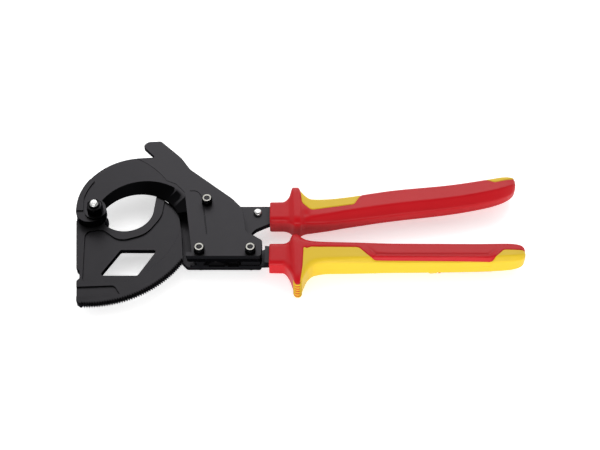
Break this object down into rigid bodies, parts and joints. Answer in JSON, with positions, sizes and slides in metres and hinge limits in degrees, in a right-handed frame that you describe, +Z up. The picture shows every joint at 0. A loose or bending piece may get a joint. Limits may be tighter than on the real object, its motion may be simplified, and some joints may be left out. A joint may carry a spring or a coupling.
{
  "type": "ratchet cable cutter",
  "caption": "Ratchet cable cutter: hook-shaped fixed blade, toothed moving sector blade and two insulated two-colour handles.",
  "frame": {"origin": "middle of the underside of the tool lying on its back, under the centre of its outline", "axes": "+X from the cutting head to the handle ends, +Y across the jaws towards the horn, +Z up along the pivot bolt towards its nut"},
  "size_m": [0.3112, 0.1358, 0.0309],
  "materials": {
    "blade_steel": "forged tool steel, black phosphated, satin",
    "plate_steel": "rolled steel plate, black phosphated, satin",
    "bright_steel": "zinc plated, bright",
    "black_fastener": "black oxide, oiled, worn bright on the rims",
    "insert_ring": "pale nylon locking ring",
    "dark_insert": "dark nylon locking ring",
    "bush_bronze": "plain bronze",
    "pawl_steel": "hardened, ground grey",
    "spring_steel": "blued spring strip",
    "red_grip": "dipped insulating plastic, semi-gloss",
    "yellow_grip": "dipped insulating plastic, semi-gloss"
  },
  "bodies": {
    "frame": {"fixed_blade": "blade_steel", "front_plate": "plate_steel", "back_plate": "plate_steel", "pivot_bolt": "bright_steel", "pivot_washer": "black_fastener", "pivot_back_washer": "black_fastener", "pivot_nut": "black_fastener", "pivot_nut_insert": "dark_insert", "housing_screws": "black_fastener", "housing_nuts": "black_fastener", "housing_nut_inserts": "insert_ring", "pawl_sleeve": "bright_steel", "lever_bush": "bush_bronze", "fixed_handle_arm": "plate_steel", "lower_grip": "red_grip", "lower_grip_shell": "yellow_grip", "spring_pin": "bright_steel", "holding_pawl_spring": "spring_steel"},
    "blade": {"moving_blade": "blade_steel"},
    "lever": {"moving_handle_arm": "plate_steel", "drive_pawl_pin": "bright_steel", "stop_pin": "bright_steel", "upper_grip": "red_grip", "upper_grip_inlay": "yellow_grip", "upper_grip_end_inlay": "yellow_grip", "drive_pawl_spring": "spring_steel"},
    "drive_pawl": {"drive_pawl": "pawl_steel"},
    "holding_pawl": {"holding_pawl": "pawl_steel"}
  },
  "joints": [
    {"name": "blade_swing", "type": "hinge", "parent": "frame", "child": "blade", "pos_m": [-0.1414, 0.00339, 0.01035], "axis": [0, 0, 1], "range_deg": [-14, 62]},
    {"name": "handle_swing", "type": "hinge", "parent": "frame", "child": "lever", "pos_m": [-0.0327, -0.03051, 0.01035], "axis": [0, 0, 1], "range_deg": [0, 11.35]},
    {"name": "drive_pawl_swing", "type": "hinge", "parent": "lever", "child": "drive_pawl", "pos_m": [-0.0568, -0.02741, 0.01035], "axis": [0, 0, 1], "range_deg": [-3, 8.5], "stiffness_Nm_per_rad": 0.05},
    {"name": "holding_pawl_swing", "type": "hinge", "parent": "frame", "child": "holding_pawl", "pos_m": [-0.064, 0.01149, 0.01035], "axis": [0, 0, 1], "range_deg": [-3, 9], "stiffness_Nm_per_rad": 0.05}
  ]
}
